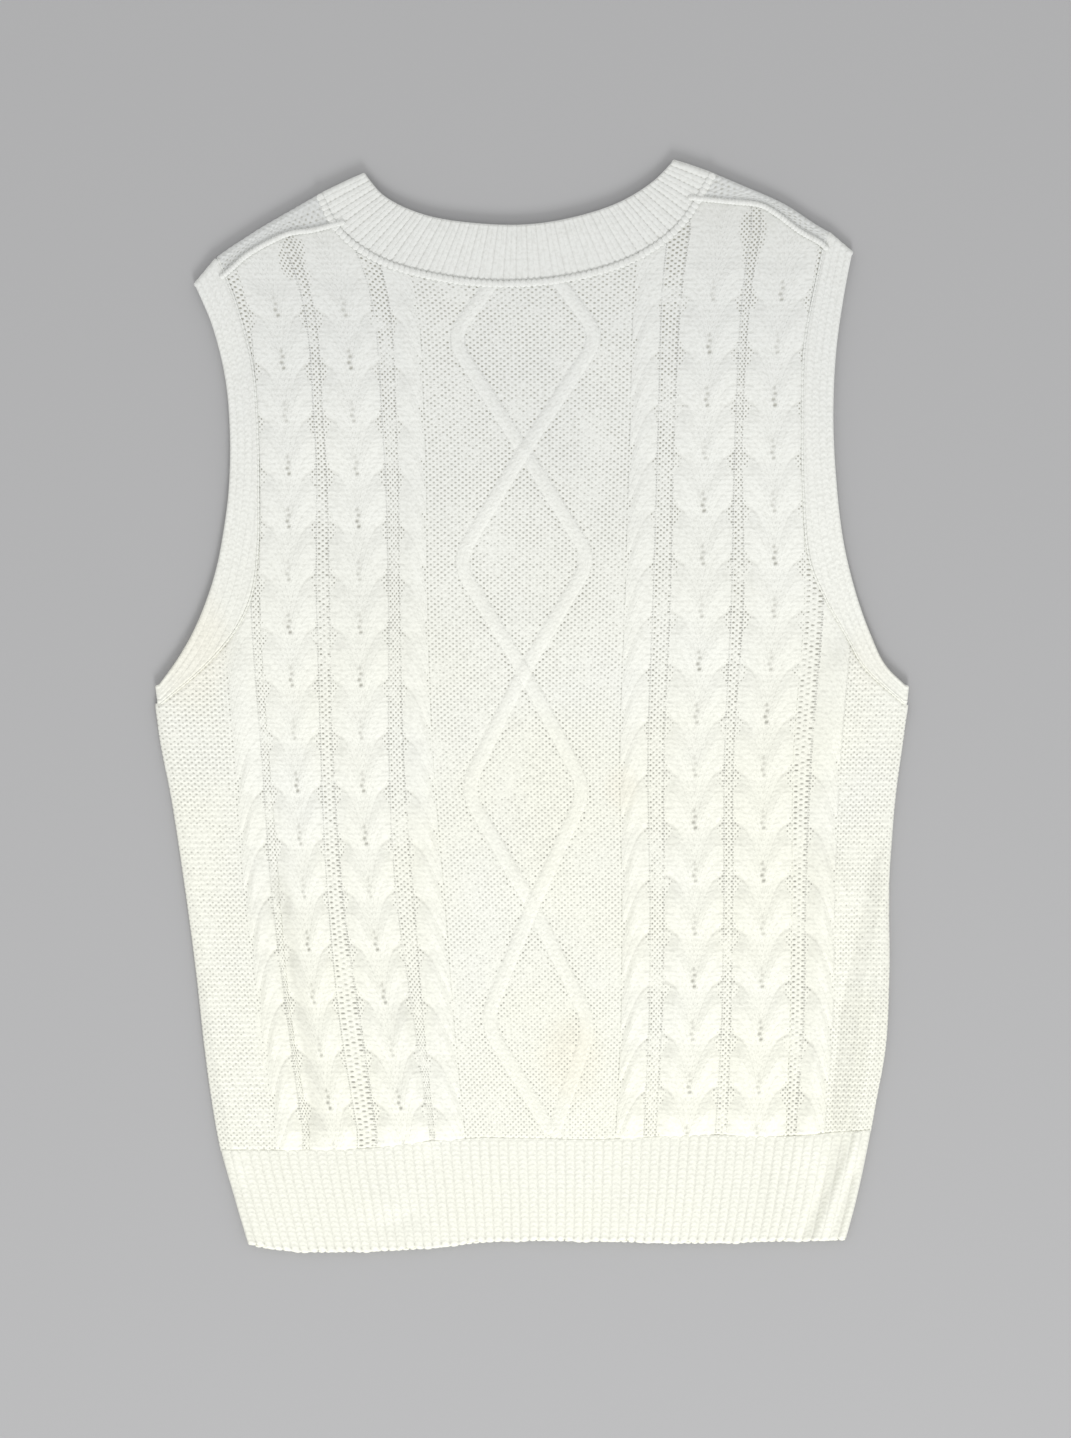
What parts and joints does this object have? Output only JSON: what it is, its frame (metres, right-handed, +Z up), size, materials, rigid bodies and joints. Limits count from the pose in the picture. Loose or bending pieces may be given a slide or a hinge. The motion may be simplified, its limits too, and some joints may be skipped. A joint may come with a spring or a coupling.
{
  "type": "knitted sweater vest laid flat",
  "caption": "Cable-knit sweater vest laid flat on its front, with a ribbed neckband, armhole bands and hem, cables and a diamond panel on the back.",
  "frame": {"origin": "on the surface that the vest lies on, under the middle of its outline", "axes": "+Z up, out of the back of the vest, which is uppermost; +Y from the hem towards the neck; +X to the right as seen from above with the neck away"},
  "size_m": [0.4738, 0.6868, 0.0119],
  "materials": {
    "cable_knit": "matt off-white wool yarn in cables and reverse stocking stitch",
    "plain_knit": "matt off-white wool yarn in reverse stocking stitch",
    "ribbing": "matt off-white wool yarn in rib"
  },
  "bodies": {
    "root": {"back_panel": "cable_knit", "front_panel": "plain_knit", "hem_rib_back": "ribbing", "hem_rib_front": "ribbing", "neckband": "ribbing", "armhole_band_left": "ribbing", "armhole_band_right": "ribbing"}
  },
  "joints": []
}
